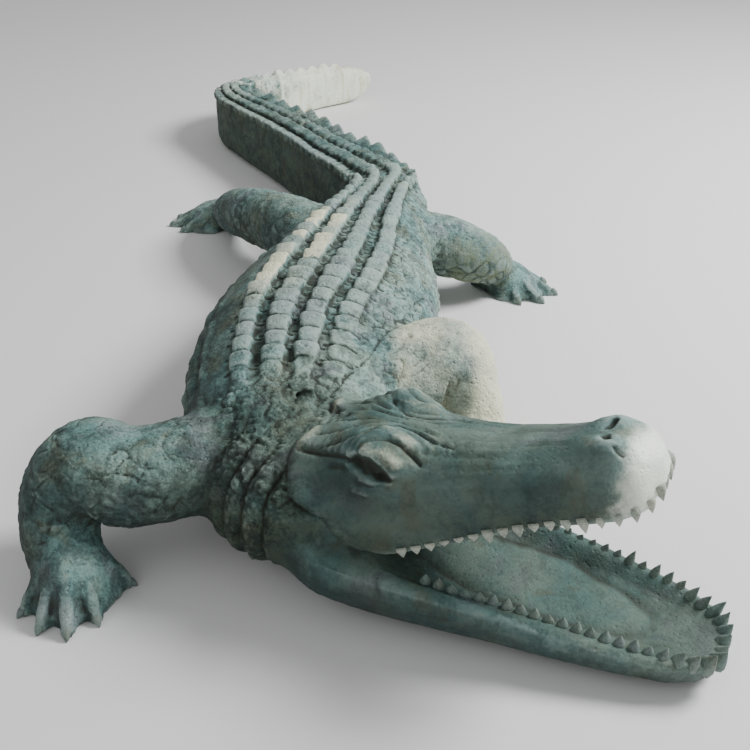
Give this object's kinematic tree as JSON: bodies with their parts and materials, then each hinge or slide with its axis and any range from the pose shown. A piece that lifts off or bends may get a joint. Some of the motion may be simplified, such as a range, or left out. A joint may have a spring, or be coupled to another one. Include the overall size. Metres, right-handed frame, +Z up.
{
  "type": "crocodile sculpture",
  "caption": "Life-like crocodile cast in bronze, low on four splayed feet, head turned with the jaws agape and the tail bent to one side.",
  "frame": {"origin": "middle of the footprint's bounding box, on the ground that the feet and the tail rest on", "axes": "+Z up; +Y runs along the animal from its head towards the tail; the open jaws point to +X and -Y"},
  "size_m": [0.973, 2.534, 0.3332],
  "materials": {
    "verdigris_bronze": "weathered grey-green verdigris over dark bronze, pale where worn"
  },
  "bodies": {
    "root": {"crocodile": "verdigris_bronze"}
  },
  "joints": []
}
